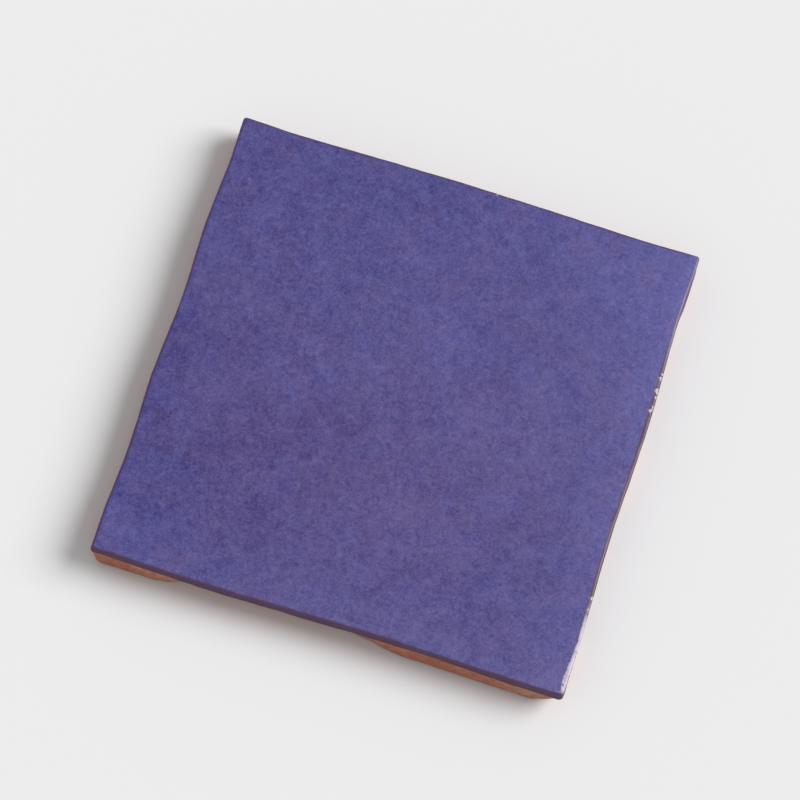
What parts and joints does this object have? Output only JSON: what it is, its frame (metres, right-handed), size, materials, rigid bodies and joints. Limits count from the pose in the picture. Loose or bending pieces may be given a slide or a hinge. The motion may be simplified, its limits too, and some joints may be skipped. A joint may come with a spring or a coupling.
{
  "type": "zellige tile",
  "caption": "Square hand-cut zellige tile of fired clay, with a violet glazed face, wavering edges and bevelled terracotta sides, for setting on walls and floors.",
  "frame": {"origin": "centre of the tile's outline, on the plane of its bed", "axes": "+Z out of the glazed face, +X along the front edge to the right, +Y from the front edge to the back edge"},
  "size_m": [0.13, 0.13, 0.01],
  "materials": {
    "glaze": "satin"
  },
  "bodies": {
    "root": {"tile": "glaze"}
  },
  "joints": []
}
